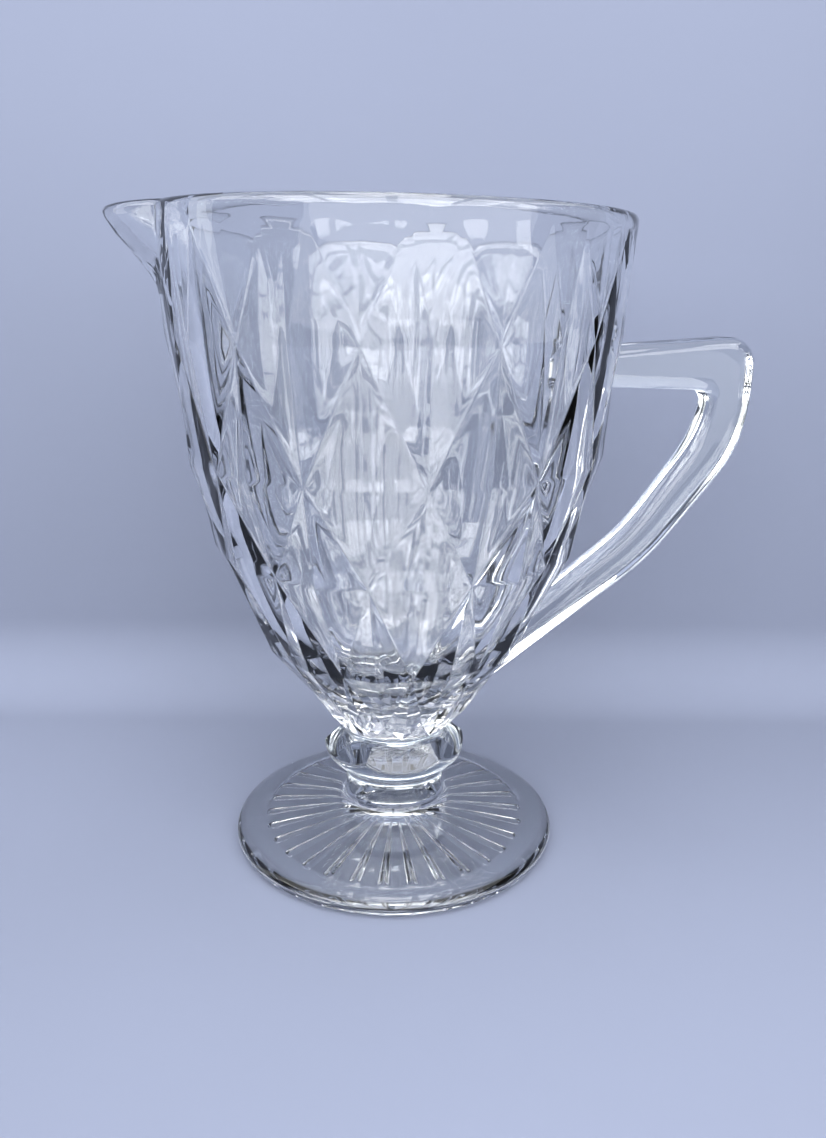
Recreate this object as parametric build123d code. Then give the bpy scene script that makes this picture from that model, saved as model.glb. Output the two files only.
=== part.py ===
from build123d import *
import math
import os

# Footed pressed-glass jug.  Millimetres, +Z up, origin at the centre of the resting ring,
# handle toward +X, pouring lip toward -X.

# ---- driving dimensions ----------------------------------------------------------------
RIM_HEIGHT = 210.0          # height of the rim on the jug's axis
RIM_RISE_DEG = 0.85         # the rim climbs gently toward the lip
BAND_RADIUS = 72.3          # plain band under the rim
BOWL_TOP_ALLOWANCE = 8.0    # stock above the rim before it is trimmed
RIM_ROUNDING = 1.5          # fire-polished rim

COLUMNS = 12                # diamond columns round the bowl
GROOVE_INSET = 1.3          # groove crossings lie this far inside the bowl's outline
PEAK_PROUD = 0.6            # pyramid tips stand this far outside it
# rows of the diamond lattice, from the neck up: height and outline radius
NECK_ROW = (42.5, 19.6)
LATTICE_ROWS = [(49.5, 25.4), (73.3, 42.8), (107.3, 58.4), (136.9, 66.0), (174.4, 70.4)]
# where the facets run out against the plain band
VEE_HALF_DEG = 10.0         # half opening of each pair of grooves at the band
VEE_HEIGHT = 204.2
KINK_HEIGHT = 203.4         # above a groove crossing
DIP_HEIGHT = 200.8          # above a pyramid tip
RUNOUT_INSET = 0.05         # corners of the run-out lie just inside the band
RUNOUT_FLARE = 1.8          # outward lean of the facets above the run-out

FLOOR_HEIGHT = 54.0         # inside floor of the bowl
# inside of the bowl, floor to rim: radius and height
CAVITY_POINTS = [(12.0, 54.6), (24.0, 60.5), (37.0, 74.0), (46.2, 89.0), (53.3, 107.0),
                 (58.2, 122.0), (61.3, 137.0), (64.6, 157.0), (66.4, 175.0), (68.1, 218.0)]

# pouring lip, root to top of the stock: height, reach from the axis, share of its spread
LIP_PROFILE = [(184.0, 70.9, 0.45), (190.0, 72.9, 0.58), (196.5, 77.8, 0.74),
               (202.5, 83.0, 0.88), (207.5, 86.2, 0.97), (212.5, 86.7, 1.0), (218.0, 86.9, 1.0)]
LIP_HALF_DEG = 21.0         # half the arc of rim that the lip takes up
LIP_ROOT_RADIUS = 70.7      # the wall's radius at the root of the lip
LIP_WALL = 4.6
LIP_CHANNEL_RISE = 4.6      # the channel starts this much above the root
LIP_CHANNEL_NARROWER = 2.5  # degrees each side
LIP_CHANNEL_RADIUS = 66.6   # inside radius of the wall at the root

HANDLE_WIDTH = 14.0
HANDLE_ROUNDING = 4.0
# outline of the handle seen from the side: distance from the axis, height and rounding
HANDLE_OUTLINE = [
    (46.0, 168.8, 0.0), (119.2, 173.5, 9.0), (119.2, 138.5, 45.0), (87.0, 97.5, 90.0), (25.0, 51.9, 0.0),
    (25.0, 63.4, 0.0), (80.0, 109.2, 70.0), (101.2, 139.0, 40.0), (105.8, 155.6, 4.5), (46.0, 157.8, 0.0),
]

STEM_RADIUS = 17.2
KNOP_BELT_RADIUS = 24.6
KNOP_BELT_HEIGHT = 33.8
KNOP_BASE_HEIGHT = 26.6
KNOP_TOP_HEIGHT = 39.6
KNOP_TOP_CORNER = 19.6      # corner radius of the hexagon on top of the knop
KNOP_SIDES = 6
KNOP_UNDER_MIDDLE = (22.6, 29.2)
KNOP_FLAT_SLOPE = 1.0       # how fast the flats spread, going down
NECK_WAIST = 17.6

FOOT_RADIUS = 56.3
FOOT_STEM_HEIGHT = 17.0     # the foot meets the stem here
FOOT_RING_INNER = 46.5      # inner edge of the resting ring
FOOT_BELT_HEIGHT = 2.8
FOOT_BASE_INSET = 1.6
FOOT_TOP_POINTS = [(18.6, 14.4), (24.0, 12.2), (36.0, 9.4), (49.5, 6.4)]
FOOT_TOP_END = (1, -0.24)
FOOT_RECESS = 1.2           # depth of the hollow just inside the ring
FOOT_DOME_HEIGHT = 3.2      # hollow under the foot, on the axis
RAYS = 30                   # sunburst grooves under the foot
RAY_START = 15.0
RAY_END = 44.0
RAY_START_DEPTH = 0.8
RAY_DEPTH = 2.2
RAY_HALF_WIDTH = 2.0


def polar(radius, degrees, height=0.0):
    angle = math.radians(degrees)
    return Vector(radius * math.cos(angle), radius * math.sin(angle), height)


# ---- bowl -------------------------------------------------------------------------------
STEP = 360.0 / COLUMNS / 2  # lattice columns are half a diamond apart


def lattice_ring(row, has_vertex_on_even):
    """One level of the lattice: crossings and pyramid tips alternate round the bowl."""
    height, radius = row
    ring = []
    for column in range(2 * COLUMNS):
        crossing = (column % 2 == 0) == has_vertex_on_even
        r = radius - GROOVE_INSET if crossing else radius + PEAK_PROUD
        ring.append(polar(r, column * STEP, height))
    return ring


def triangle(a, b, c):
    return Face(Wire.make_polygon([a, b, c], close=True))


def lattice_belt(lower, upper, crossing_on_even_below):
    """Facets between two levels, split along the grooves that join the crossings."""
    faces = []
    count = len(lower)
    for i in range(count):
        j = (i + 1) % count
        if (i % 2 == 0) == crossing_on_even_below:
            faces.append(triangle(lower[i], lower[j], upper[j]))
            faces.append(triangle(lower[i], upper[j], upper[i]))
        else:
            faces.append(triangle(lower[i], lower[j], upper[i]))
            faces.append(triangle(lower[j], upper[j], upper[i]))
    return faces


def bowl_outside():
    """Faceted body of the bowl, solid, with the plain band at the top."""
    top = RIM_HEIGHT + BOWL_TOP_ALLOWANCE
    edge_radius = BAND_RADIUS - RUNOUT_INSET
    neck = [polar(NECK_ROW[1], i * STEP, NECK_ROW[0]) for i in range(2 * COLUMNS)]
    faces = [Face(Wire.make_polygon(list(reversed(neck)), close=True))]
    below = neck
    # crossings of the top row sit on the odd columns; the rows alternate below it
    on_even = len(LATTICE_ROWS) % 2 == 0
    for row in LATTICE_ROWS:
        ring = lattice_ring(row, on_even)
        faces += lattice_belt(below, ring, not on_even)
        below = ring
        on_even = not on_even
    # run-out of the facets against the band, one group per crossing of the top row
    runout = []
    for column in range(1, 2 * COLUMNS, 2):
        middle = column * STEP
        left, here, right = below[column - 1], below[column], below[(column + 1) % len(below)]
        dip_l = polar(edge_radius, middle - STEP, DIP_HEIGHT)
        vee_l = polar(edge_radius, middle - VEE_HALF_DEG, VEE_HEIGHT)
        kink = polar(edge_radius, middle, KINK_HEIGHT)
        vee_r = polar(edge_radius, middle + VEE_HALF_DEG, VEE_HEIGHT)
        dip_r = polar(edge_radius, middle + STEP, DIP_HEIGHT)
        faces += [
            triangle(left, here, vee_l), triangle(left, vee_l, dip_l),
            triangle(here, kink, vee_l), triangle(here, vee_r, kink),
            triangle(here, right, vee_r), triangle(right, dip_r, vee_r),
        ]
        runout += [dip_l, vee_l, kink, vee_r]
    flared = []
    for point in runout:
        angle = math.degrees(math.atan2(point.Y, point.X))
        flared.append(polar(edge_radius + RUNOUT_FLARE, angle, top))
    for i, point in enumerate(runout):
        j = (i + 1) % len(runout)
        faces.append(triangle(point, runout[j], flared[j]))
        faces.append(triangle(point, flared[j], flared[i]))
    faces.append(Face(Wire.make_polygon(flared, close=True)))
    facets = Solid(Shell(faces))
    band = Pos(0, 0, NECK_ROW[0]) * Cylinder(
        BAND_RADIUS,
        top - NECK_ROW[0],
        align=(Align.CENTER, Align.CENTER, Align.MIN),
    )
    return facets & band


def lip_section(reach, half_degrees, wall_radius, height):
    """Plan of the lip at one height: it leaves the wall at a tangent and rounds the tip."""
    start = polar(wall_radius, 180.0 - half_degrees)
    end = polar(wall_radius, 180.0 + half_degrees)
    outline = Spline(
        start,
        Vector(-reach, 0, 0),
        end,
        tangents=[polar(1.0, 270.0 - half_degrees), Vector(0, -1, 0), polar(1.0, 270.0 + half_degrees)],
    )
    return Pos(0, 0, height) * make_face([outline, Line(end, start)])


def lip_solid(half_degrees, radius_root, radius_top, wall, rise):
    """Beak that grows out of the wall from its root to the top of the stock."""
    root = LIP_PROFILE[0][0]
    top = LIP_PROFILE[-1][0]
    sections = []
    for height, reach, share in LIP_PROFILE:
        wall_radius = radius_root + (radius_top - radius_root) * (height - root) / (top - root)
        lifted = height + rise * (top - height) / (top - root)
        sections.append(lip_section(reach - wall, half_degrees * share, wall_radius, lifted))
    return loft(sections)


def bowl_inside():
    """Smooth pressed hollow of the bowl."""
    top = RIM_HEIGHT + BOWL_TOP_ALLOWANCE
    side = Spline((0, FLOOR_HEIGHT), *CAVITY_POINTS, tangents=[(1, 0), (0.02, 1)])
    lid = Line(CAVITY_POINTS[-1], (0, top))
    axis = Line((0, top), (0, FLOOR_HEIGHT))
    return revolve(Plane.XZ * make_face([side, lid, axis]), Axis.Z)


def build_bowl(outside):
    beak = lip_solid(LIP_HALF_DEG, LIP_ROOT_RADIUS, BAND_RADIUS, 0.0, 0.0)
    channel = lip_solid(
        LIP_HALF_DEG - LIP_CHANNEL_NARROWER,
        LIP_CHANNEL_RADIUS,
        CAVITY_POINTS[-1][0],
        LIP_WALL - 0.6,
        LIP_CHANNEL_RISE,
    )
    body = outside + beak - bowl_inside() - channel
    rim_plane = Pos(0, 0, RIM_HEIGHT) * Rot(0, RIM_RISE_DEG, 0)
    trim = rim_plane * Box(400, 400, 60, align=(Align.CENTER, Align.CENTER, Align.MIN))
    body = body - trim
    rim = body.faces().sort_by(Axis.Z)[-1]
    return fillet(rim.edges(), RIM_ROUNDING)


# ---- handle -----------------------------------------------------------------------------
def build_handle(outside):
    """Ear-shaped bar: level top, upright back, and a branch that sweeps in to the bowl."""
    sketch = make_face(Polyline(*[(x, z) for x, z, _ in HANDLE_OUTLINE], close=True))
    for x, z, rounding in HANDLE_OUTLINE:
        if rounding > 0:
            corner = sketch.vertices().sort_by_distance((x, z, 0))[0]
            sketch = fillet(corner, rounding)
    outline = Plane.XZ * sketch
    bar = extrude(outline, HANDLE_WIDTH / 2, both=True)
    long_edges = [e for e in bar.edges() if abs(abs(e.center().Y) - HANDLE_WIDTH / 2) < 0.01]
    long_edges = [e for e in long_edges if e.center().X > HANDLE_OUTLINE[0][0] + 1]
    bar = fillet(long_edges, HANDLE_ROUNDING)
    return bar - outside


# ---- stem and knop ----------------------------------------------------------------------
def build_stem():
    """Round stem that carries a knop: round below the belt, six slanting flats above it."""
    points = [
        (0, FOOT_STEM_HEIGHT),
        (STEM_RADIUS, FOOT_STEM_HEIGHT),
        (STEM_RADIUS, KNOP_BASE_HEIGHT),
    ]
    under = ThreePointArc(
        (STEM_RADIUS, KNOP_BASE_HEIGHT),
        KNOP_UNDER_MIDDLE,
        (KNOP_BELT_RADIUS, KNOP_BELT_HEIGHT),
    )
    belt = Line((KNOP_BELT_RADIUS, KNOP_BELT_HEIGHT), (KNOP_BELT_RADIUS, KNOP_TOP_HEIGHT))
    lid = Polyline((KNOP_BELT_RADIUS, KNOP_TOP_HEIGHT), (0, KNOP_TOP_HEIGHT), points[0])
    blank = revolve(Plane.XZ * make_face([Polyline(*points), under, belt, lid]), Axis.Z)
    # the six flats lean back at the same angle and meet the top in a hexagon
    top_apothem = KNOP_TOP_CORNER * math.cos(math.pi / KNOP_SIDES)
    fall = KNOP_TOP_HEIGHT - FOOT_STEM_HEIGHT
    base_corner = (top_apothem + fall * KNOP_FLAT_SLOPE) / math.cos(math.pi / KNOP_SIDES)
    flats = loft([
        Pos(0, 0, FOOT_STEM_HEIGHT) * RegularPolygon(base_corner, KNOP_SIDES),
        Pos(0, 0, KNOP_TOP_HEIGHT) * RegularPolygon(KNOP_TOP_CORNER, KNOP_SIDES),
    ])
    knop = blank & flats
    # short waist between the knop and the bowl
    waist_side = ThreePointArc(
        (NECK_WAIST, KNOP_TOP_HEIGHT),
        (NECK_WAIST - 0.3, (KNOP_TOP_HEIGHT + NECK_ROW[0]) / 2),
        (NECK_ROW[1] - 1.0, NECK_ROW[0]),
    )
    rest = Polyline((NECK_ROW[1] - 1.0, NECK_ROW[0]), (0, NECK_ROW[0]), (0, KNOP_TOP_HEIGHT),
                    (NECK_WAIST, KNOP_TOP_HEIGHT))
    waist = revolve(Plane.XZ * make_face([waist_side, rest]), Axis.Z)
    return knop + waist


# ---- foot -------------------------------------------------------------------------------
def build_foot():
    """Spreading foot with a hollow underside pressed with a sunburst."""
    upper = Spline(
        (STEM_RADIUS, FOOT_STEM_HEIGHT),
        *FOOT_TOP_POINTS,
        tangents=[(0.15, -1), FOOT_TOP_END],
    )
    shoulder = Spline(
        FOOT_TOP_POINTS[-1],
        (FOOT_RADIUS, FOOT_BELT_HEIGHT),
        (FOOT_RADIUS - FOOT_BASE_INSET, 0),
        tangents=[FOOT_TOP_END, (-0.75, -1)],
    )
    base = Polyline(
        (FOOT_RADIUS - FOOT_BASE_INSET, 0),
        (FOOT_RING_INNER, 0),
        (FOOT_RING_INNER - 1.0, FOOT_RECESS),
        (0, FOOT_DOME_HEIGHT),
        (0, FOOT_STEM_HEIGHT),
        (STEM_RADIUS, FOOT_STEM_HEIGHT),
    )
    foot = revolve(Plane.XZ * make_face([upper, shoulder, base]), Axis.Z)
    return foot - sunburst()


def sunburst():
    """V-grooves that run out from the middle of the underside and widen toward the ring."""
    lift = (FOOT_DOME_HEIGHT - FOOT_RECESS) / FOOT_RING_INNER
    start_height = FOOT_DOME_HEIGHT - lift * RAY_START
    end_height = FOOT_DOME_HEIGHT - lift * RAY_END
    start = Plane(origin=(RAY_START, 0, start_height), x_dir=(0, 1, 0), z_dir=(1, 0, 0))
    end = Plane(origin=(RAY_END, 0, end_height), x_dir=(0, 1, 0), z_dir=(1, 0, 0))
    small = start * Polygon((-0.4, -0.6), (0.4, -0.6), (0, RAY_START_DEPTH), align=None)
    large = end * Polygon((-RAY_HALF_WIDTH, -0.6), (RAY_HALF_WIDTH, -0.6), (0, RAY_DEPTH), align=None)
    ray = loft([small, large])
    return [Rot(0, 0, (i + 0.5) * 360.0 / RAYS) * ray for i in range(RAYS)]


outside = bowl_outside()
parts = {
    "bowl": build_bowl(outside),
    "handle": build_handle(outside),
    "stem": build_stem(),
    "foot": build_foot(),
}
os.makedirs("parts", exist_ok=True)
for name, shape in parts.items():
    export_step(shape, f"parts/{name}.step")
    print(name, shape.is_valid, len(shape.solids()), round(shape.volume), shape.bounding_box())
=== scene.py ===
import math

import bmesh
import bpy
import numpy as np
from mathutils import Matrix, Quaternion, Vector


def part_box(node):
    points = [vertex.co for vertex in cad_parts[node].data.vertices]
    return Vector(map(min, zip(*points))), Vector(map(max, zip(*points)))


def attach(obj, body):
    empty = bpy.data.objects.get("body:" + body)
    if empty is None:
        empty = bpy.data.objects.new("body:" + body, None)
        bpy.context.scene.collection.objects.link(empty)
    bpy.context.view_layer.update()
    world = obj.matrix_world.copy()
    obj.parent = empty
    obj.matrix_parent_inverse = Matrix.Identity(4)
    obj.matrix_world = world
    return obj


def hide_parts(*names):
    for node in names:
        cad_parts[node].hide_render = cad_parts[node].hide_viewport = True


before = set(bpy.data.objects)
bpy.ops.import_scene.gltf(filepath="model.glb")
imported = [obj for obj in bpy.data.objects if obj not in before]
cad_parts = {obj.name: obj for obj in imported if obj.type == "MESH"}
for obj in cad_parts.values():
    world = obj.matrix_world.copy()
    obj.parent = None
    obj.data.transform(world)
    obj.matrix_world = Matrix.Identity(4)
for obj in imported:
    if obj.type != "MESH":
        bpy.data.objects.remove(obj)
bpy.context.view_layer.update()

MM = 0.001


def box_mm(node):
    """Corners of a CAD node in millimetres."""
    low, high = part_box(node)
    return low / MM, high / MM


# ---------------------------------------------------------------------------- sizes, in mm
BOWL_LOW, BOWL_HIGH = box_mm("bowl")
STEM_HIGH = box_mm("stem")[1]
FOOT_HIGH = box_mm("foot")[1]
HANDLE_HIGH = box_mm("handle")[1]
SPARE = 0.05                                 # keeps the bowl's waviness inside the CAD's box
SMALL_SPARE = 0.02                           # the same for the pieces that have none

BAND_RADIUS = BOWL_HIGH.y - SPARE            # plain band under the rim
NECK_HEIGHT = BOWL_LOW.z                     # the bowl ends and the stem begins
NECK_RADIUS = 19.6
RIM_TILT = math.radians(0.85)                # the rim climbs toward the lip
RIM_HEIGHT = BOWL_HIGH.z + BOWL_LOW.x * math.tan(RIM_TILT) - SPARE   # on the axis

COLUMNS = 12                                 # diamonds round the bowl
STEP_DEG = 360.0 / COLUMNS / 2
GROOVE_INSET = 1.3                           # crossings lie this far inside the outline
PEAK_PROUD = 0.6                             # and the tips of the pyramids this far outside
# height and distance from the axis of each row of crossings and tips
LATTICE_ROWS = [(49.5, 25.4), (73.3, 42.8), (107.3, 58.4), (136.9, 66.0), (174.4, 70.4)]
VEE_HALF_DEG = 10.0                          # the scalloped edge has corners beside each column
VEE_HEIGHT = 204.2                           # at this height
KINK_HEIGHT = 203.4                          # over the column
DIP_HEIGHT = 200.8                           # between two columns
BOWL_MIDDLE = 120.0                          # tells the neck's open edge from the rim's
ARC_RISE = 0.9                               # how far the scallops bulge up between corners
SPLIT = 14                                   # mesh divisions along a facet's side
CROWD = 1.65                                 # crowds the divisions toward ridges and grooves
GROOVE_DEPTH = 0.3                           # fine V along the lines that join the crossings
GROOVE_SHARE = 0.06                          # its half width, as a share of the facet
GROOVE_TOP, GROOVE_TOP_FADE = 200.0, 14.0    # it fades out toward the band
GROOVE_FOOT, GROOVE_FOOT_FADE = 43.5, 6.0    # and toward the neck
POLISH = 1                                   # smoothing passes that round the ridges
BAND_SHARES = (0.08, 0.25, 0.5, 0.75, 1.0)   # mesh rows up the band

# waviness of the glass: size of the waves, their height and their phase
OUTER_SWELL = (46.0, 0.07, 0.4)
OUTER_SWELL_FADE = 12.0                      # none at the neck, all of it this far above
INNER_SWELL = (62.0, 0.05, 2.2)
INNER_SWELL_FADE = 20.0                      # none at the rim or on the axis

FLOOR_HEIGHT = 54.0                          # inside floor of the bowl
# the smooth inside: distance from the axis and height
CAVITY = [(12.0, 54.6), (24.0, 60.5), (37.0, 74.0), (46.2, 89.0), (53.3, 107.0), (58.2, 122.0),
          (61.3, 137.0), (64.6, 157.0), (66.4, 175.0), (67.4, 186.0), (67.9, 198.0), (68.0, 208.0)]
CAVITY_ROWS = 4                              # mesh rows between two of these
LEVEL_HEIGHT = 180.0                         # above this the inside follows the rim's tilt
RIM_ROUND = 1.9                              # height of the rounded rim
RIM_STEPS = 8

# pouring lip: height, reach from the axis, share of its spread
LIP_PROFILE = [(184.0, 70.9, 0.45), (190.0, 72.9, 0.58), (196.5, 77.8, 0.74),
               (202.5, 83.0, 0.88), (207.5, 86.1, 0.97), (212.5, 86.5, 1.0)]
LIP_HALF_DEG = 21.0
LIP_FULLNESS = 0.85                          # below 1 the lip is broader at its tip
LIP_ROOT_RADIUS = 71.9                       # the lip springs from no further out than this
LIP_RUN_IN = 3.0                             # it starts this far below its profile
LIP_BLEND = 0.7                              # softens the line where the lip leaves the wall
LIP_TRIM, LIP_TRIM_REACH = LIP_BLEND / 2, 1.5   # takes back what that softening adds
LIP_ROOT_BLEND, LIP_RIM_BLEND = 0.1, 0.2
LIP_WALL = 4.4                               # glass between the outside and the channel
LIP_CHANNEL_RISE = 4.6                       # the channel starts this much higher
LIP_CHANNEL_NARROWER = 2.5                   # degrees on each side
LIP_DIP = 1.2                                # the top of the lip sinks toward its tip

HANDLE_HALF_WIDTH = HANDLE_HIGH.y - SMALL_SPARE
HANDLE_ROUNDING = 4.0
HANDLE_ARC_STEPS, HANDLE_SIDE_STEPS = 6, 4   # mesh divisions of each rounded edge and each flat
HANDLE_EASING = 2                            # smoothing passes along the bar
# outline seen from the side: distance from the axis, height and rounding of each corner
HANDLE_OUTER = [(67.3, 170.17, 0), (119.2, 173.5, 9), (119.2, 138.5, 45), (87.0, 97.5, 90),
                (27.0, 53.4, 0)]
HANDLE_INNER = [(67.3, 157.01, 0), (105.8, 155.6, 4.5), (101.2, 139.0, 40), (80.0, 109.2, 70),
                (43.0, 78.4, 0)]
HANDLE_STEPS = [14, 12, 5, 12, 5, 12, 16]    # mesh rows along each straight and each bend

STEM_RADIUS = 17.2
KNOP_BELT_RADIUS = STEM_HIGH.x
# side of the knop: distance from the axis and height
KNOP_BASE = (17.2, 26.6)
KNOP_UNDER = (22.6, 29.2)
KNOP_BELT = (24.6, 33.8)
KNOP_TOP_HEIGHT = 39.6
KNOP_TOP_CORNER = 19.6
KNOP_TOP_ROUND = 0.6
KNOP_SIDES = 6
KNOP_EDGE_ROUND = 0.45
KNOP_FILLET, KNOP_FILLET_REACH = 0.35, 0.9   # where the round stem swells into the knop
WAIST_RADIUS = 17.5
WAIST_START = 38.0                           # from here up the knop never dips inside the waist
WAIST_TOP = 18.6
# heights of the mesh rows up to the knop's top
STEM_ROWS = [17.0, 18.5, 20.5, 22.5, 24.5, 25.6, 26.2, 26.6, 27.0, 27.4, 27.9, 28.5, 29.2, 30.0, 31.0,
             32.0, 32.8, 33.4, 33.9, 34.4, 34.9, 35.4, 35.9, 36.5, 37.1, 37.7, 38.2, 38.6, 38.9, 39.15,
             39.35, 39.5]
# and above it, with the distance from the axis
WAIST_ROWS = [(39.6, 18.3), (39.65, 17.75), (39.9, 17.5), (40.5, 17.32), (41.1, 17.35), (41.7, 17.6),
              (42.2, 18.05), (42.5, WAIST_TOP)]

FOOT_RADIUS = FOOT_HIGH.x - SMALL_SPARE
# the foot from the side: distance from the axis and height
FOOT_LEAD_IN = (17.0, 19.6)                  # sets the slope at which it leaves the stem
FOOT_TOP = [(17.2, 17.0), (18.6, 14.4), (24.0, 12.2), (36.0, 9.4), (49.5, 6.4)]
FOOT_SHOULDER = [(53.6, 5.2), (55.6, 4.1), (56.28, 2.8), (56.0, 1.3), (54.9, 0.25), (53.6, 0.0)]
FOOT_PROFILE_ROWS = 4                        # mesh rows between two of these
FOOT_RING = [(52.0, 0.0), (50.2, 0.03), (49.0, 0.12), (48.0, 0.28), (47.0, 0.52), (46.0, 0.82),
             (45.2, 1.06)]                   # the ring it rests on, easing into the hollow
FOOT_RING_INNER = 46.5
FOOT_RECESS = 1.2                            # height of the hollow underneath, at its edge
FOOT_DOME = 3.2                              # and in the middle
RAYS = 30                                    # grooves of the sunburst, wider toward the edge
RAY_START, RAY_END = 15.0, 44.0
RAY_START_DEPTH, RAY_DEPTH = 0.8, 2.2
RAY_START_HALF, RAY_HALF = 0.25, 1.6
RAY_LEAST_HALF = 0.2
RAY_START_FADE, RAY_END_FADE = 12.0, 0.6     # how fast a ray runs out at each end
RAY_SOFTNESS = 0.12
RAY_ROWS = [44.6, 44.1, 43.7, 43.0, *np.arange(41.5, 15.5, -1.75), 14.6, 13.5, 11.0, 7.0, 3.0]
FOOT_AROUND = RAYS * 16

JOINT_SLOT = 1                               # material index of faces where glass meets glass
HANDLE_TAG = 2                               # marks the handle's faces while the two are joined
WELD = 0.004                                 # points closer than this become one

# ---------------------------------------------------------------------------- stage and camera, in metres
CAMERA_PLACE = (-0.0414, -0.3101, 0.1915)
CAMERA_HEADING, CAMERA_PITCH, CAMERA_ROLL = 81.28, -16.87, 0.5
CAMERA_LENS, CAMERA_SENSOR = 30.67, 36.0     # in mm
BOUNCES, CLEAR_BOUNCES = 24, 32

STAGE_TURN = math.radians(CAMERA_HEADING - 90)   # the wall squarely faces the camera
STAGE_DROP = 0.0006                          # so that glass and floor never share a plane
STAGE_HALF_WIDTH = 0.75
STAGE_FRONT, STAGE_FOLD = -0.55, 0.085       # the flat floor runs from one to the other
COVE_RADIUS, COVE_STEPS = 0.035, 12          # the bend between floor and wall
WALL_TOP = 0.42
BACKDROP_SHADES = (0.145, 0.162, 0.220), (0.156, 0.174, 0.236)
BACKDROP_CLOUDS, CARD_CLOUDS = 3.0, 2.0      # how many shade clouds to a metre

ROOM_COLOUR, ROOM_STRENGTH = (0.94, 0.97, 1.0, 1), 1.65
JUG_MIDDLE = (0, 0, 0.12)                    # the windows face it
PANE_PITCH = (1.15, 1.12)                    # across and up, in panes, which leaves bars between them
# name, place, size of a pane, panes across and up, power of a pane
WINDOWS = [
    ("Window_front", (-0.2, -1.2, 1.10), (0.74, 0.79), (4, 2), 9.5),
    ("Window_left", (-1.60, -0.45, 0.95), (0.45, 0.60), (3, 2), 3.0),
    ("Window_right", (1.50, -0.60, 0.95), (0.45, 0.60), (3, 2), 3.0),
]
CEILING_PLACE, CEILING_TARGET = (0.0, -0.15, 1.2), (0, -0.15, 0)
CEILING_SIZE, CEILING_POWER = (0.5, 0.9), 9.0
# the room's floor below the stage, a dark sheet of painted shade
ROOM_FLOOR_HALF, ROOM_FLOOR_HEIGHT, ROOM_FLOOR_SHADE = 3, -0.75, 0.05
# upright dark panels out of the picture, painted shade for the unlit room and the photographer: name,
# start and end on the plan, heights, shade
SHADE_CARDS = [
    ("Front_low", (0.8, -0.8), (-0.8, -0.8), (-0.7, 0.0), 0.04),
    ("Side_left", (-0.42, -0.42), (-0.42, 0.02), (0.0, 0.30), 0.02),
    ("Side_right", (0.46, 0.03), (0.46, -0.35), (0.0, 0.50), 0.03),
]

# ---------------------------------------------------------------------------- glass
# tint of each piece, from where it is deepest to where it is palest; the bowl and the foot keep the
# glass's faint tint, while the darker handle and stem tints are painted shade
TINTS_AND_PAINTED_SHADE = {
    "bowl": ((0.984, 0.992, 0.992), (0.993, 0.997, 0.997)),
    "handle": ((0.865, 0.890, 0.900), (0.890, 0.912, 0.920)),
    "stem": ((0.660, 0.710, 0.745), (0.690, 0.740, 0.770)),
    "foot": ((0.985, 0.990, 0.990), (0.993, 0.996, 0.996)),
}
REFRACTION = 1.5
# fineness of the clouds in the tint and painted shade, the wear and the skin: noise cells to a metre
TINT_AND_SHADE_CLOUDS, WEAR_CLOUDS, SKIN_CLOUDS = 24.0, 90.0, 140.0
WEAR_RANGE = (0.35, 0.8)                     # part of the noise that is spread over the roughness
ROUGHNESS = (0.012, 0.05)
SKIN_STRENGTH, SKIN_HEIGHT = 0.05, 0.0004


# ---------------------------------------------------------------------------- small helpers
def smoothstep(x):
    """0 to 1 with a level start and end."""
    x = np.clip(x, 0.0, 1.0)
    return x * x * (3.0 - 2.0 * x)


def soft_max(a, b, width):
    """Larger of the two, rounded over where they cross."""
    return 0.5 * (a + b + np.sqrt((a - b) ** 2 + width * width))


def soft_min(a, b, width):
    """Smaller of the two, rounded over where they cross."""
    return -soft_max(-a, -b, width)


def polar(radius, degrees, height):
    """Point at a distance from the axis, at an angle and a height."""
    angle = math.radians(degrees)
    return np.array([radius * math.cos(angle), radius * math.sin(angle), height])


def around(radius, angles, height):
    """Ring of points; radius and height may vary round it."""
    angles = np.asarray(angles)
    flat = np.zeros(len(angles))
    return np.stack([radius * np.cos(angles), radius * np.sin(angles), flat + height], axis=1)


def even_angles(count):
    """Evenly spaced angles round the axis, starting at +X."""
    return np.arange(count) * 2 * math.pi / count


def from_lip(angles):
    """How far each angle lies from the middle of the lip, which is at -X."""
    return np.abs(np.asarray(angles) % (2 * math.pi) - math.pi)


def catmull(points, per_span, before=None):
    """Smooth curve through the points, per_span samples for each gap between two of them."""
    p = np.asarray(points, float)
    first = 2 * p[0] - p[1] if before is None else np.asarray(before, float)
    padded = np.vstack([first, p, 2 * p[-1] - p[-2]])
    out = []
    for i in range(1, len(padded) - 2):
        a, b, c, d = padded[i - 1:i + 3]
        for t in np.arange(per_span) / per_span:
            out.append(0.5 * (2 * b + (c - a) * t + (2 * a - 5 * b + 4 * c - d) * t ** 2
                              + (3 * b - a - 3 * c + d) * t ** 3))
    out.append(p[-1])
    return np.array(out)


def ripple(points, size, amount, phase):
    """Slow uneven swell of pressed glass, in mm at each point."""
    p = np.asarray(points) / size
    waves = [((1.0, 0.35, 0.6), 0.0), ((-0.45, 1.1, 0.25), 1.3), ((0.3, -0.5, 1.2), 2.1),
             ((1.5, 0.9, -0.7), 4.0), ((-1.1, 1.4, 1.3), 5.2), ((0.6, 1.9, -1.5), 0.7)]
    total = np.zeros(len(p))
    for k, (direction, shift) in enumerate(waves):
        total += np.sin(p @ np.array(direction) * 2 * math.pi + shift + phase) / (1.0 + 0.35 * k)
    return amount * total / 3.0


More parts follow.
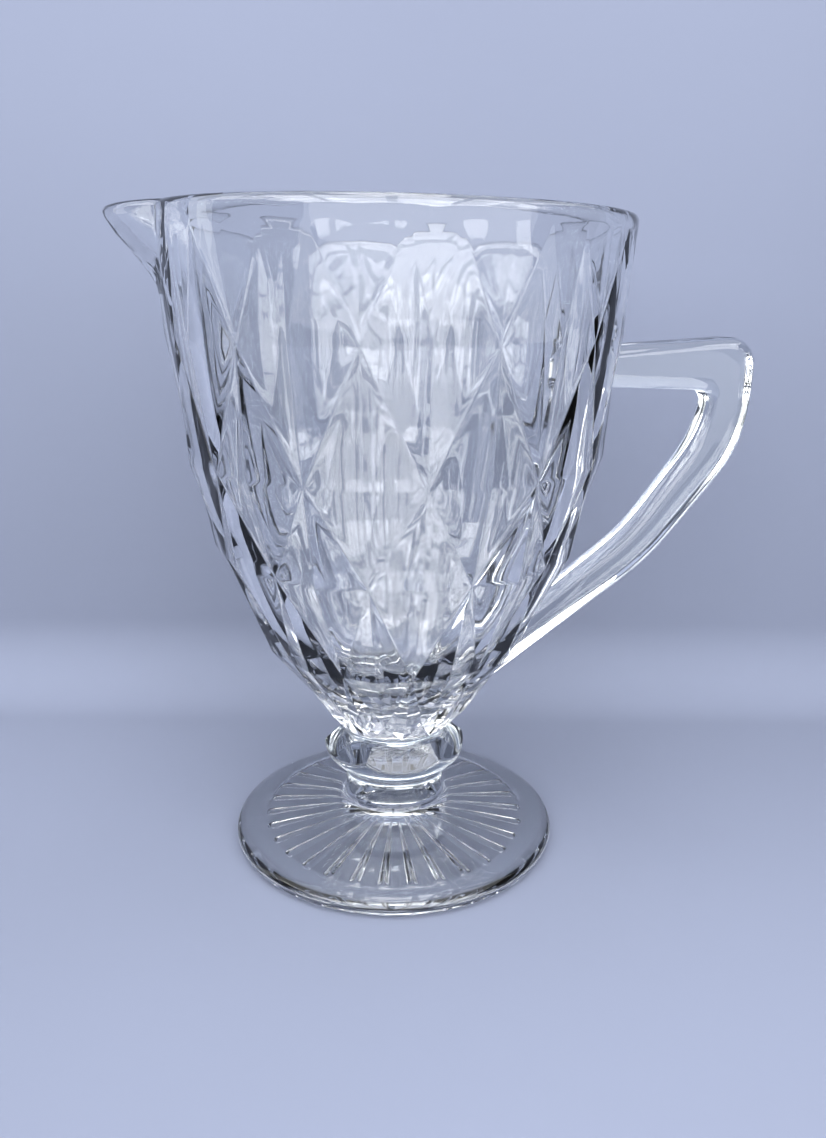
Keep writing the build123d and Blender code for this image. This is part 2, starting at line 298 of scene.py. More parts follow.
class Shell:
    """Collects the points and faces of one piece, in millimetres."""

    def __init__(self):
        self.verts = []
        self.faces = []
        self.slots = []
        self.known = {}

    def point(self, p):
        """Index of the point; one that is already there is used again."""
        key = tuple(int(v) for v in np.floor(np.asarray(p) * 1000 + 0.5))
        if key not in self.known:
            self.known[key] = len(self.verts)
            self.verts.append(np.asarray(p, float))
        return self.known[key]

    def ring(self, points):
        """Adds the points and gives their indices."""
        first = len(self.verts)
        self.verts.extend(np.asarray(points, float))
        return list(range(first, first + len(points)))

    def face(self, indices, slot=0):
        """Adds a face, unless two of its corners are the same point."""
        if len(set(indices)) == len(indices):
            self.faces.append([int(i) for i in indices])
            self.slots.append(slot)

    def bridge(self, lower, upper):
        """Quads between two rings, facing outward when upper lies above lower on an outside."""
        count = len(lower)
        for i in range(count):
            j = (i + 1) % count
            self.face([lower[i], lower[j], upper[j], upper[i]])

    def fan(self, ring, hub_point, inward=False):
        """Closes a ring with triangles round a point in its middle."""
        hub = self.ring([hub_point])[0]
        count = len(ring)
        for i in range(count):
            tri = [ring[i], ring[(i + 1) % count], hub]
            self.face(tri if inward else tri[::-1])

    def edges(self):
        """Each edge once, as a pair of points."""
        pairs = set()
        for f in self.faces:
            for a, b in zip(f, f[1:] + f[:1]):
                pairs.add((min(a, b), max(a, b)))
        return np.array(sorted(pairs))

    def open_edge(self):
        """Points on the open border of the faces so far."""
        directed = set()
        for f in self.faces:
            directed.update(zip(f, f[1:] + f[:1]))
        return sorted({v for a, b in directed if (b, a) not in directed for v in (a, b)})

    def polish(self, passes, fixed):
        """Rounds ridges and grooves a little, as fire polishing does."""
        verts = np.array(self.verts)
        edges = self.edges()
        held = np.zeros(len(verts), bool)
        held[fixed] = True
        for _ in range(passes):
            total = np.zeros_like(verts)
            count = np.zeros(len(verts))
            for a, b in ((0, 1), (1, 0)):
                np.add.at(total, edges[:, a], verts[edges[:, b]])
                np.add.at(count, edges[:, a], 1)
            mean = total / np.maximum(count, 1)[:, None]
            moved = verts + 0.5 * (mean - verts)
            verts = np.where(held[:, None], verts, moved)
        self.verts = list(verts)

    def build(self, name):
        """Object made of what has been collected."""
        mesh = bpy.data.meshes.new(name)
        mesh.from_pydata((np.array(self.verts) * MM).tolist(), [], self.faces)
        mesh.polygons.foreach_set("material_index", self.slots)
        mesh.update()
        return place(name, mesh)


def place(name, mesh):
    """Object for a mesh, shaded smooth except round its joints."""
    bm = bmesh.new()
    bm.from_mesh(mesh)
    bmesh.ops.remove_doubles(bm, verts=bm.verts, dist=WELD * MM)
    bmesh.ops.recalc_face_normals(bm, faces=bm.faces)
    for f in bm.faces:
        f.smooth = True
    for e in bm.edges:
        slots = {f.material_index for f in e.link_faces}
        e.smooth = len(slots) == 1
    bm.to_mesh(mesh)
    bm.free()
    mesh.update()
    obj = bpy.data.objects.new(name, mesh)
    bpy.context.scene.collection.objects.link(obj)
    return obj


# ---------------------------------------------------------------------------- bowl
def lattice_ring(row, even_is_crossing):
    """One level of the lattice: groove crossings and pyramid tips alternate round the bowl."""
    height, radius = row
    ring = []
    for column in range(2 * COLUMNS):
        crossing = (column % 2 == 0) == even_is_crossing
        r = radius - GROOVE_INSET if crossing else radius + PEAK_PROUD
        ring.append(polar(r, column * STEP_DEG, height))
    return ring


def sink(p, amount):
    """Moves a point of a groove toward the axis. Grooves are finer where the facets are smaller."""
    reach = math.hypot(p[0], p[1])
    fade = (min(1.0, max(0.0, (GROOVE_TOP - p[2]) / GROOVE_TOP_FADE))
            * min(1.0, max(0.0, (p[2] - GROOVE_FOOT) / GROOVE_FOOT_FADE)))
    depth = GROOVE_DEPTH * reach / BAND_RADIUS * fade * max(0.0, amount)
    return np.array([p[0] * (1 - depth / reach), p[1] * (1 - depth / reach), p[2]])


def split_triangle(shell, a, b, c, top=None, groove=None):
    """Fills the triangle with small ones, crowded toward its sides. top bends the side b to c;
    groove is the corner (1 for b, 2 for c) that lies across from a side cut by a groove."""
    rows = []
    for i in range(SPLIT + 1):
        row = []
        for j in range(i + 1):
            shares = np.array([SPLIT - i, i - j, j]) / SPLIT
            shares = shares ** CROWD
            wa, wb, wc = shares / shares.sum()
            p = a * wa + b * wb + c * wc
            if top is not None and wb + wc > 0:
                s = wc / (wb + wc)
                p = p + (top(s) - (b * (1 - s) + c * s)) * (wb + wc)
            if groove is not None:
                p = sink(p, 1.0 - (wa, wb, wc)[groove] / GROOVE_SHARE)
            row.append(shell.point(p))
        rows.append(row)
    for i in range(SPLIT):
        for j in range(i + 1):
            shell.face([rows[i][j], rows[i + 1][j], rows[i + 1][j + 1]])
            if j < i:
                shell.face([rows[i][j], rows[i + 1][j + 1], rows[i][j + 1]])


def scallop(b, c):
    """Edge of a facet where it runs out on the band, from b to c."""
    start, end = math.atan2(b[1], b[0]), math.atan2(c[1], c[0])
    turn = (end - start + math.pi) % (2 * math.pi) - math.pi
    lift = ARC_RISE * abs(turn) / math.radians(VEE_HALF_DEG)

    def at(s):
        angle = start + turn * s
        height = b[2] + (c[2] - b[2]) * s + lift * 4 * s * (1 - s)
        return np.array([BAND_RADIUS * math.cos(angle), BAND_RADIUS * math.sin(angle), height])
    return at


def cut_facets(shell):
    """Diamond facets from the neck up to the scalloped edge of the band."""
    count = 2 * COLUMNS
    below = [polar(NECK_RADIUS, i * STEP_DEG, NECK_HEIGHT) for i in range(count)]
    even = len(LATTICE_ROWS) % 2 == 0
    for row in LATTICE_ROWS:
        ring = lattice_ring(row, even)
        for i in range(count):
            j = (i + 1) % count
            if (i % 2 == 0) != even:
                split_triangle(shell, below[i], ring[j], ring[i], groove=2)
                split_triangle(shell, ring[j], below[i], below[j], groove=2)
            else:
                split_triangle(shell, ring[i], below[i], below[j], groove=1)
                split_triangle(shell, below[j], ring[j], ring[i], groove=1)
        below = ring
        even = not even
    for column in range(1, count, 2):
        middle = column * STEP_DEG
        left, here, right = below[column - 1], below[column], below[(column + 1) % count]
        dip_l = polar(BAND_RADIUS, middle - STEP_DEG, DIP_HEIGHT)
        vee_l = polar(BAND_RADIUS, middle - VEE_HALF_DEG, VEE_HEIGHT)
        kink = polar(BAND_RADIUS, middle, KINK_HEIGHT)
        vee_r = polar(BAND_RADIUS, middle + VEE_HALF_DEG, VEE_HEIGHT)
        dip_r = polar(BAND_RADIUS, middle + STEP_DEG, DIP_HEIGHT)
        split_triangle(shell, vee_l, left, here, groove=1)
        split_triangle(shell, left, vee_l, dip_l, scallop(vee_l, dip_l))
        split_triangle(shell, here, kink, vee_l, scallop(kink, vee_l), groove=1)
        split_triangle(shell, here, vee_r, kink, scallop(vee_r, kink), groove=2)
        split_triangle(shell, vee_r, here, right, groove=2)
        split_triangle(shell, right, dip_r, vee_r, scallop(dip_r, vee_r))


def lip_radius(angles, heights, wall, channel):
    """Radius of the pouring lip's outside, or of the channel in it, at each angle and height."""
    levels, reaches, shares = (np.array(v) for v in zip(*LIP_PROFILE))
    half = math.radians(LIP_HALF_DEG)
    rise = 0.0
    if channel:
        half -= math.radians(LIP_CHANNEL_NARROWER)
        rise = LIP_CHANNEL_RISE
    span = levels[-1] - levels[0]
    lifted = levels + rise * (levels[-1] - levels) / span
    reach = np.interp(heights, lifted, reaches) - (LIP_WALL if channel else 0.0)
    spread = half * np.interp(heights, lifted, shares)
    t = 1.0 - from_lip(angles) / spread
    radius = wall + (reach - wall) * smoothstep(t) ** LIP_FULLNESS
    started = (heights > lifted[0] - LIP_RUN_IN) & (t > 0)
    return np.where(started, radius, 0.0)


def lip_share(angles):
    """How far along the lip a point of the rim is: 1 at the tip, 0 away from it."""
    return smoothstep(1.0 - from_lip(angles) / math.radians(LIP_HALF_DEG))


def sorted_ring(shell, indices):
    """Points of a ring put in order of angle, and their angles."""
    points = np.array([shell.verts[i] for i in indices])
    angles = np.round(np.arctan2(points[:, 1], points[:, 0]) % (2 * math.pi), 7) % round(2 * math.pi, 7)
    order = np.argsort(angles)
    return [indices[k] for k in order], angles[order]


def add_band(shell, top, angles):
    """Plain band, up to where the rim starts to round over."""
    outer = soft_max(np.full(len(angles), BAND_RADIUS),
                     lip_radius(angles, np.full(len(angles), RIM_HEIGHT), BAND_RADIUS, False),
                     LIP_RIM_BLEND)
    crest = RIM_HEIGHT - outer * np.cos(angles) * math.tan(RIM_TILT) - LIP_DIP * lip_share(angles) ** 2
    start = np.array([shell.verts[i][2] for i in top])
    ring = top
    for share in BAND_SHARES:
        height = start + (crest - RIM_ROUND - start) * share
        above = shell.ring(around(BAND_RADIUS, angles, height))
        shell.bridge(ring, above)
        ring = above
    return ring


def grow_lip(shell):
    """Lets the lip grow out of the wall, and makes the outside a little wavy."""
    verts = np.array(shell.verts)
    turn = np.arctan2(verts[:, 1], verts[:, 0]) % (2 * math.pi)
    radius = np.hypot(verts[:, 0], verts[:, 1])
    lip = lip_radius(turn, verts[:, 2], soft_min(radius, LIP_ROOT_RADIUS, LIP_ROOT_BLEND), False)
    trim = LIP_TRIM * np.exp(-((radius - lip) / LIP_TRIM_REACH) ** 2)
    grown = np.where(lip > 0, soft_max(radius, lip, LIP_BLEND) - trim, radius)
    grown = np.maximum(grown, radius)
    swell = ripple(verts, *OUTER_SWELL) - OUTER_SWELL[1]     # inward only
    swell *= smoothstep((verts[:, 2] - NECK_HEIGHT) / OUTER_SWELL_FADE)
    grown = grown + swell
    verts[:, 0] = grown * np.cos(turn)
    verts[:, 1] = grown * np.sin(turn)
    shell.verts = list(verts)


def round_rim(shell, ring, angles):
    """Rim, rounded over from the outside to the inside."""
    outside = np.array([shell.verts[i] for i in ring])
    outer = np.hypot(outside[:, 0], outside[:, 1])
    wall = np.full(len(angles), CAVITY[-1][0])
    channel = lip_radius(angles, np.full(len(angles), RIM_HEIGHT), wall, True)
    inner = np.maximum(wall, channel)
    middle, half = (outer + inner) / 2, (outer - inner) / 2
    for k in range(1, RIM_STEPS + 1):
        phi = math.pi * k / RIM_STEPS
        height = outside[:, 2] + RIM_ROUND * math.sin(phi)
        above = shell.ring(around(middle + half * math.cos(phi), angles, height))
        shell.bridge(ring, above)
        ring = above
    return ring


def add_inside(shell, ring, angles, edge_heights):
    """Smooth inside with the lip's channel, from the rim down to the floor."""
    profile = catmull([(0.0, FLOOR_HEIGHT)] + CAVITY, CAVITY_ROWS, before=(-CAVITY[0][0], CAVITY[0][1]))
    high = CAVITY[-1][1]
    stretch = (edge_heights - LEVEL_HEIGHT) / (high - LEVEL_HEIGHT)
    for r, z in profile[-2:0:-1]:
        height = np.full(len(angles), z)
        if z > LEVEL_HEIGHT:
            height = LEVEL_HEIGHT + (z - LEVEL_HEIGHT) * stretch
        channel = lip_radius(angles, height, np.full(len(angles), r), True)
        radius = np.maximum(r, channel)
        points = around(radius, angles, height)
        fade = smoothstep((high - z) / INNER_SWELL_FADE) * smoothstep(r / INNER_SWELL_FADE)
        radius = radius + ripple(points, *INNER_SWELL) * fade
        below = shell.ring(around(radius, angles, height))
        shell.bridge(ring, below)
        ring = below
    shell.fan(ring, (0.0, 0.0, FLOOR_HEIGHT), inward=True)


def build_bowl():
    """The bowl with its lip, and the angles of the points round its neck."""
    shell = Shell()
    cut_facets(shell)
    border = shell.open_edge()
    neck, neck_angles = sorted_ring(shell, [i for i in border if shell.verts[i][2] < BOWL_MIDDLE])
    top, angles = sorted_ring(shell, [i for i in border if shell.verts[i][2] > BOWL_MIDDLE])
    edge = add_band(shell, top, angles)
    shell.polish(POLISH, neck + edge)
    grow_lip(shell)
    edge_heights = np.array([shell.verts[i][2] for i in edge])
    rim = round_rim(shell, edge, angles)
    add_inside(shell, rim, angles, edge_heights)

    # underside of the neck and the joint with the stem
    joint = shell.ring(around(WAIST_TOP, neck_angles, NECK_HEIGHT))
    shell.bridge(joint, neck)
    shell.face(joint[::-1], JOINT_SLOT)
    return shell.build("Bowl"), neck_angles


# ---------------------------------------------------------------------------- handle
def rounded_legs(corners, steps):
    """Points along a path with rounded corners: a straight leg, a bend, a leg and so on."""
    pts = [np.array(c[:2], float) for c in corners]
    cuts = []
    for k in range(1, len(corners) - 1):
        back, ahead = pts[k - 1] - pts[k], pts[k + 1] - pts[k]
        back, ahead = back / np.linalg.norm(back), ahead / np.linalg.norm(ahead)
        half = 0.5 * math.acos(np.clip(back @ ahead, -1, 1))
        reach = corners[k][2] / math.tan(half)
        centre = pts[k] + (back + ahead) / np.linalg.norm(back + ahead) * corners[k][2] / math.sin(half)
        cuts.append((pts[k] + back * reach, pts[k] + ahead * reach, centre))
    path = []
    here = pts[0]
    for k, (start, end, centre) in enumerate(cuts):
        path += [here + (start - here) * t for t in np.arange(steps[2 * k]) / steps[2 * k]]
        a, b = start - centre, end - centre
        swing = math.atan2(a[0] * b[1] - a[1] * b[0], a @ b)
        for t in np.arange(steps[2 * k + 1]) / steps[2 * k + 1]:
            cos, sin = math.cos(swing * t), math.sin(swing * t)
            path.append(centre + np.array([a[0] * cos - a[1] * sin, a[0] * sin + a[1] * cos]))
        here = end
    path += [here + (pts[-1] - here) * t for t in np.arange(steps[-1] + 1) / steps[-1]]
    return np.array(path)


def rounded_rectangle(half_u, half_v, radius, arc_steps, side_steps):
    """Closed section, counter-clockwise."""
    out = []
    corners = [(1, 1, 0.0), (-1, 1, 90.0), (-1, -1, 180.0), (1, -1, 270.0)]
    for k, (su, sv, first) in enumerate(corners):
        cu, cv = su * (half_u - radius), sv * (half_v - radius)
        arc = []
        for i in range(arc_steps + 1):
            phi = math.radians(first + 90.0 * i / arc_steps)
            arc.append(np.array([cu + radius * math.cos(phi), cv + radius * math.sin(phi)]))
        out += arc
        nu, nv, nfirst = corners[(k + 1) % 4]
        phi = math.radians(nfirst)
        ahead = np.array([nu * (half_u - radius) + radius * math.cos(phi),
                          nv * (half_v - radius) + radius * math.sin(phi)])
        out += [arc[-1] + (ahead - arc[-1]) * s / side_steps for s in range(1, side_steps)]
    return out


def build_handle():
    """Flat bar with rounded edges, from the band round to the lower part of the bowl."""
    shell = Shell()
    outer = rounded_legs(HANDLE_OUTER, HANDLE_STEPS)
    inner = rounded_legs(HANDLE_INNER, HANDLE_STEPS)
    for _ in range(HANDLE_EASING):
        for path in (outer, inner):
            path[1:-1] = 0.5 * path[1:-1] + 0.25 * (path[:-2] + path[2:])
    rings = []
    for a, b in zip(inner, outer):
        middle, across = (a + b) / 2, b - a
        thick = np.linalg.norm(across)
        across = across / thick
        section = rounded_rectangle(thick / 2, HANDLE_HALF_WIDTH, HANDLE_ROUNDING,
                                    HANDLE_ARC_STEPS, HANDLE_SIDE_STEPS)
        points = [(middle[0] + across[0] * u, v, middle[1] + across[1] * u) for u, v in section]
        rings.append(shell.ring(points))
    for lower, upper in zip(rings, rings[1:]):
        shell.bridge(lower, upper)
    shell.face(rings[0][::-1])
    shell.face(rings[-1])
    return shell.build("Handle")


def fuse(bowl, handle):
    """Joins the two where they meet, then parts them again along that line, so that each stays
    a closed piece and the glass runs through between them."""
    for slot in ("glass", "joint", "handle"):
        material = bpy.data.materials.new(slot)
        bowl.data.materials.append(material)
        handle.data.materials.append(material)
    handle.data.polygons.foreach_set("material_index", [HANDLE_TAG] * len(handle.data.polygons))
    cut = bowl.modifiers.new("fuse", "BOOLEAN")
    cut.operation = "UNION"
    cut.object = handle
    cut.solver = "MANIFOLD"
    depsgraph = bpy.context.evaluated_depsgraph_get()
    merged = bpy.data.meshes.new_from_object(bowl.evaluated_get(depsgraph))
    out = []
    for name, tags in (("Bowl", (0, JOINT_SLOT)), ("Handle", (HANDLE_TAG,))):
        bm = bmesh.new()
        bm.from_mesh(merged)
        spare = [f for f in bm.faces if f.material_index not in tags]
        bmesh.ops.delete(bm, geom=spare, context="FACES")
        for f in bm.faces:
            f.material_index = JOINT_SLOT if f.material_index == JOINT_SLOT else 0
        rims = [e for e in bm.edges if e.is_boundary]
        filled = bmesh.ops.triangle_fill(bm, edges=rims, use_beauty=True, use_dissolve=False)
        for f in filled["geom"]:
            if isinstance(f, bmesh.types.BMFace):
                f.material_index = JOINT_SLOT
        mesh = bpy.data.meshes.new(name)
        bm.to_mesh(mesh)
        bm.free()
        out.append(mesh)
    for obj in (bowl, handle):
        bpy.data.objects.remove(obj)
    return place("Bowl", out[0]), place("Handle", out[1])


# ---------------------------------------------------------------------------- stem and knop
def circle_through(p, q, r):
    """Centre and radius of the circle through three points."""
    (ax, ay), (bx, by), (cx, cy) = p, q, r
    d = 2 * (ax * (by - cy) + bx * (cy - ay) + cx * (ay - by))
    ux = ((ax ** 2 + ay ** 2) * (by - cy) + (bx ** 2 + by ** 2) * (cy - ay)
          + (cx ** 2 + cy ** 2) * (ay - by)) / d
    uy = ((ax ** 2 + ay ** 2) * (cx - bx) + (bx ** 2 + by ** 2) * (ax - cx)
          + (cx ** 2 + cy ** 2) * (bx - ax)) / d
    return (ux, uy), math.hypot(ax - ux, ay - uy)


def build_stem(neck_angles):
    """Round stem, the knop with its six flats above and the waist that carries the bowl."""
    shell = Shell()
    angles = np.asarray(neck_angles)
    (cx, cz), radius = circle_through(KNOP_BASE, KNOP_UNDER, KNOP_BELT)
    apothem = KNOP_TOP_CORNER * math.cos(math.pi / KNOP_SIDES)
    sector = 2 * math.pi / KNOP_SIDES
    facing = np.cos((angles % sector) - sector / 2)
    ring = None
    for z in STEM_ROWS:
        if z <= KNOP_BASE[1]:
            swell = STEM_RADIUS
        elif z <= KNOP_BELT[1]:
            swell = cx + math.sqrt(max(radius ** 2 - (z - cz) ** 2, 0.0))
        else:
            swell = KNOP_BELT[0]
        under = KNOP_FILLET * math.exp(-((z - KNOP_BASE[1]) / KNOP_FILLET_REACH) ** 2)
        flats = (apothem + KNOP_TOP_HEIGHT - z) / facing
        r = soft_min(np.full(len(angles), swell + under), flats, KNOP_EDGE_ROUND)
        edge = max(0.0, z - (KNOP_TOP_HEIGHT - KNOP_TOP_ROUND))
        r = r - (KNOP_TOP_ROUND - math.sqrt(max(KNOP_TOP_ROUND ** 2 - edge ** 2, 0.0)))
        r = np.maximum(r, WAIST_RADIUS if z > WAIST_START else 0.0)
        above = shell.ring(around(np.minimum(r, KNOP_BELT_RADIUS), angles, z))
        if ring is not None:
            shell.bridge(ring, above)
        else:
            shell.face(above[::-1], JOINT_SLOT)
        ring = above
    for z, r in WAIST_ROWS:
        near = r
        if z < KNOP_TOP_HEIGHT + 0.1:        # never wider than the knop that it starts from
            below = np.array([shell.verts[i] for i in ring])
            near = np.minimum(np.hypot(below[:, 0], below[:, 1]), r)
        above = shell.ring(around(near, angles, z))
        shell.bridge(ring, above)
        ring = above
    shell.face(ring, JOINT_SLOT)
    return shell.build("Stem")


# ---------------------------------------------------------------------------- foot
def build_foot():
    """Round foot with a sunburst pressed into its underside."""
    shell = Shell()
    angles = even_angles(FOOT_AROUND)
    profile = catmull(FOOT_TOP + FOOT_SHOULDER, FOOT_PROFILE_ROWS, before=FOOT_LEAD_IN)
    rings = [shell.ring(around(min(r, FOOT_RADIUS), angles, max(z, 0.0))) for r, z in profile]
    shell.face(rings[0], JOINT_SLOT)
    rings += [shell.ring(around(r, angles, z)) for r, z in FOOT_RING]

    # underside: a shallow dome pressed with a sunburst
    lift = (FOOT_DOME - FOOT_RECESS) / FOOT_RING_INNER
    sector = 2 * math.pi / RAYS
    off = np.abs((angles % sector) - sector / 2)
    for r in RAY_ROWS:
        along = (r - RAY_START) / (RAY_END - RAY_START)
        depth = RAY_START_DEPTH + (RAY_DEPTH - RAY_START_DEPTH) * along
        half = RAY_START_HALF + (RAY_HALF - RAY_START_HALF) * along
        if along > 1:
            depth *= max(0.0, 1 - (r - RAY_END) / RAY_END_FADE)
        if along < 0:
            depth *= max(0.0, 1 + along * RAY_START_FADE)
        groove = 1 - r * np.sin(off) / max(half, RAY_LEAST_HALF)
        groove = soft_max(groove, np.zeros(len(angles)), RAY_SOFTNESS) - 0.5 * RAY_SOFTNESS * (groove < 0)
        height = FOOT_DOME - lift * r + max(depth, 0.0) * np.clip(groove, 0, 1)
        rings.append(shell.ring(around(r, angles, height)))
    for upper, lower in zip(rings, rings[1:]):
        shell.bridge(lower, upper)
    shell.fan(rings[-1], (0.0, 0.0, FOOT_DOME))
    return shell.build("Foot")


# ---------------------------------------------------------------------------- materials
def new_material(name):
    """Material with its nodes and links."""
    mat = bpy.data.materials.new(name)
    mat.use_nodes = True
    return mat, mat.node_tree.nodes, mat.node_tree.links


def noise(nodes, links, where, cells, detail=2.0):
    """Cloudy pattern that stays with the object."""
    cloud = nodes.new("ShaderNodeTexNoise")
    cloud.inputs["Scale"].default_value = cells
    cloud.inputs["Detail"].default_value = detail
    links.new(where.outputs["Object"], cloud.inputs["Vector"])
    return cloud.outputs["Fac"]


def two_shades(nodes, links, pattern, shades, margin):
    """Colour that runs between two shades; margin is the part of the pattern left flat at each end."""
    ramp = nodes.new("ShaderNodeValToRGB")
    for stop, position, shade in zip(ramp.color_ramp.elements, (margin, 1 - margin), shades):
        stop.position = position
        stop.color = (*shade, 1)
    links.new(pattern, ramp.inputs["Fac"])
    return ramp.outputs["Color"]


def glass_material(name, shades):
    """Clear glass, tinted between two shades, with faint wear and an uneven skin. On the handle and the
    stem the darker tint is painted shade.
    """
    mat, nodes, links = new_material(name)
    shader = nodes["Principled BSDF"]
    shader.inputs["Transmission Weight"].default_value = 1.0
    shader.inputs["IOR"].default_value = REFRACTION
    where = nodes.new("ShaderNodeTexCoord")
    # faint tint of the glass; on the handle and the stem a darker tint that is painted shade
    tint_and_shade = two_shades(nodes, links, noise(nodes, links, where, TINT_AND_SHADE_CLOUDS), shades, margin=0.35)
    links.new(tint_and_shade, shader.inputs["Base Color"])

    rough = nodes.new("ShaderNodeMapRange")
    for socket, value in zip(("From Min", "From Max", "To Min", "To Max"), WEAR_RANGE + ROUGHNESS):
        rough.inputs[socket].default_value = value
    links.new(noise(nodes, links, where, WEAR_CLOUDS, detail=4.0), rough.inputs["Value"])
    links.new(rough.outputs["Result"], shader.inputs["Roughness"])

    bump = nodes.new("ShaderNodeBump")
    bump.inputs["Strength"].default_value = SKIN_STRENGTH
    bump.inputs["Distance"].default_value = SKIN_HEIGHT
    links.new(noise(nodes, links, where, SKIN_CLOUDS), bump.inputs["Height"])
    links.new(bump.outputs["Normal"], shader.inputs["Normal"])
    return mat


def joint_material():
    """Faces where two pieces of glass are fused: light goes straight through."""
    mat, nodes, links = new_material("fused_joint")
    nodes.remove(nodes["Principled BSDF"])
    clear = nodes.new("ShaderNodeBsdfTransparent")
    links.new(clear.outputs["BSDF"], nodes["Material Output"].inputs["Surface"])
    return mat


def matte(name, shades, clouds):
    """Dull surface with a faint cloudy shade, clear from behind so that it never hides the jug."""
    mat, nodes, links = new_material(name)
    shader = nodes["Principled BSDF"]
    shader.inputs["Roughness"].default_value = 0.9
    shader.inputs["Specular IOR Level"].default_value = 0.1
    where = nodes.new("ShaderNodeTexCoord")
    shade = two_shades(nodes, links, noise(nodes, links, where, clouds), shades, margin=0.3)
    links.new(shade, shader.inputs["Base Color"])

    side = nodes.new("ShaderNodeNewGeometry")
    clear = nodes.new("ShaderNodeBsdfTransparent")
    either = nodes.new("ShaderNodeMixShader")
    links.new(side.outputs["Backfacing"], either.inputs["Fac"])
    links.new(shader.outputs["BSDF"], either.inputs[1])
    links.new(clear.outputs["BSDF"], either.inputs[2])
    links.new(either.outputs["Shader"], nodes["Material Output"].inputs["Surface"])
    return mat


# ---------------------------------------------------------------------------- stage
def panel(name, verts, faces, material):
    """Sheet of the stage, shaded smooth."""
    mesh = bpy.data.meshes.new(name)
    mesh.from_pydata(verts, [], faces)
    mesh.polygons.foreach_set("use_smooth", [True] * len(faces))
    mesh.materials.append(material)
    mesh.update()
    obj = bpy.data.objects.new(name, mesh)
    bpy.context.scene.collection.objects.link(obj)
    return obj


def build_stage():
    """Floor that curves up into a wall behind the jug, seen square on from the camera."""
    profile = [(STAGE_FRONT, 0.0), (STAGE_FOLD, 0.0)]
    for k in range(1, COVE_STEPS + 1):
        phi = math.radians(90.0 * k / COVE_STEPS)
        profile.append((STAGE_FOLD + COVE_RADIUS * math.sin(phi), COVE_RADIUS * (1 - math.cos(phi))))
    profile.append((STAGE_FOLD + COVE_RADIUS, WALL_TOP))
    verts, faces = [], []
    for y, z in profile:
        verts += [(-STAGE_HALF_WIDTH, y, z), (STAGE_HALF_WIDTH, y, z)]
    for i in range(len(profile) - 1):
        faces.append([2 * i, 2 * i + 1, 2 * i + 3, 2 * i + 2])
    obj = panel("Backdrop", verts, faces, matte("backdrop", BACKDROP_SHADES, BACKDROP_CLOUDS))
    obj.rotation_euler = (0, 0, STAGE_TURN)
    obj.location = (0, 0, -STAGE_DROP)


def lamp(name, position, target, size, power):
    """Rectangle of light that faces the target."""
    data = bpy.data.lights.new(name, "AREA")
    data.shape = "RECTANGLE"
    data.size, data.size_y = size
    data.energy = power
    obj = bpy.data.objects.new(name, data)
    obj.location = position
    obj.rotation_mode = "QUATERNION"
    obj.rotation_quaternion = (Vector(target) - Vector(position)).to_track_quat("-Z", "Y")
    bpy.context.scene.collection.objects.link(obj)


def window(name, position, size, panes, power):
    """Panes of light with bars between them."""
    forward = (Vector(JUG_MIDDLE) - Vector(position)).normalized()
    side = forward.cross(Vector((0, 0, 1))).normalized()
    rise = side.cross(forward)
    for i in range(panes[0]):
        for j in range(panes[1]):
            centre = (Vector(position) + side * (i - (panes[0] - 1) / 2) * size[0] * PANE_PITCH[0]
                      + rise * (j - (panes[1] - 1) / 2) * size[1] * PANE_PITCH[1])
            lamp(f"{name}_{i}_{j}", centre, centre + forward, size, power)


def shade_card(name, corners, shade):
    """Dull panel outside the picture, dark as painted shade, for the glass to pick up as a darker patch.
    """
    shades = (shade * 0.9,) * 3, (shade * 1.1,) * 3
    obj = panel(name, corners, [[0, 1, 2, 3]], matte(name, shades, CARD_CLOUDS))


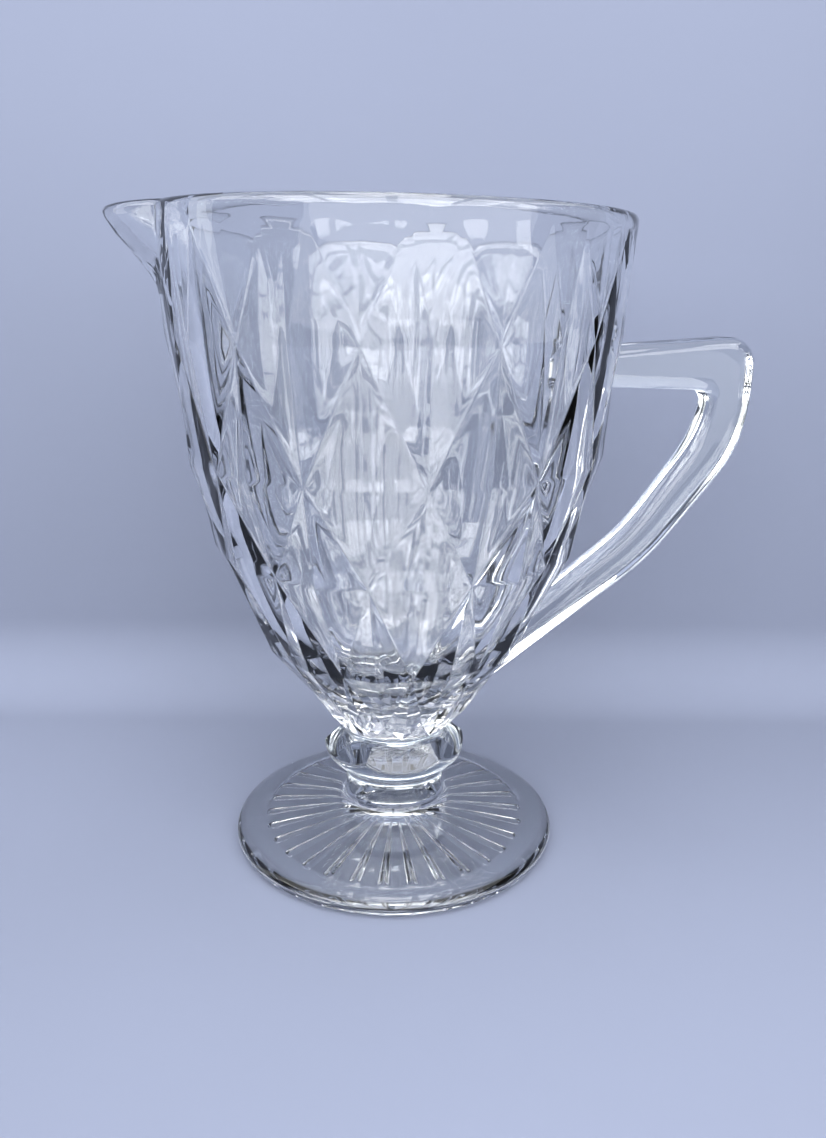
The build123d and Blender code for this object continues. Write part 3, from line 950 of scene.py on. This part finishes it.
def build_light():
    """A bright room with windows, a ceiling lamp and, round it, dark panels that paint the room's shade.
    """
    world = bpy.data.worlds.new("Room")
    bpy.context.scene.world = world
    world.use_nodes = True
    shader = world.node_tree.nodes["Background"]
    shader.inputs["Color"].default_value = ROOM_COLOUR
    shader.inputs["Strength"].default_value = ROOM_STRENGTH
    for values in WINDOWS:
        window(*values)
    lamp("Ceiling", CEILING_PLACE, CEILING_TARGET, CEILING_SIZE, CEILING_POWER)
    half, level = ROOM_FLOOR_HALF, ROOM_FLOOR_HEIGHT
    corners = [(-half, -half, level), (half, -half, level), (half, half, level), (-half, half, level)]
    shade_card("Room_floor", corners, ROOM_FLOOR_SHADE)
    for name, start, end, (low, high), shade in SHADE_CARDS:
        shade_card(name, [(*start, low), (*end, low), (*end, high), (*start, high)], shade)


def build_camera():
    """The camera, aimed by its heading and pitch and then rolled."""
    data = bpy.data.cameras.new("Camera")
    data.lens = CAMERA_LENS
    data.sensor_width = CAMERA_SENSOR
    data.sensor_fit = "AUTO"
    obj = bpy.data.objects.new("Camera", data)
    heading, pitch = math.radians(CAMERA_HEADING), math.radians(CAMERA_PITCH)
    forward = Vector((math.cos(heading) * math.cos(pitch), math.sin(heading) * math.cos(pitch),
                      math.sin(pitch)))
    roll = Quaternion((0, 0, 1), math.radians(CAMERA_ROLL))
    obj.location = CAMERA_PLACE
    obj.rotation_mode = "QUATERNION"
    obj.rotation_quaternion = forward.to_track_quat("-Z", "Y") @ roll
    bpy.context.scene.collection.objects.link(obj)
    bpy.context.scene.camera = obj


# ---------------------------------------------------------------------------- assembly
bowl, neck_angles = build_bowl()
handle = build_handle()
bowl, handle = fuse(bowl, handle)
stem = build_stem(neck_angles)
foot = build_foot()

joint = joint_material()
for piece, node in ((bowl, "bowl"), (handle, "handle"), (stem, "stem"), (foot, "foot")):
    piece.data.materials.append(glass_material("glass_" + node, TINTS_AND_PAINTED_SHADE[node]))
    piece.data.materials.append(joint)
    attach(piece, "root")
    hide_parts(node)

build_stage()
build_light()
build_camera()
scene = bpy.context.scene
scene.view_settings.view_transform = "Standard"
scene.cycles.max_bounces = BOUNCES
scene.cycles.transmission_bounces = BOUNCES
scene.cycles.transparent_max_bounces = CLEAR_BOUNCES
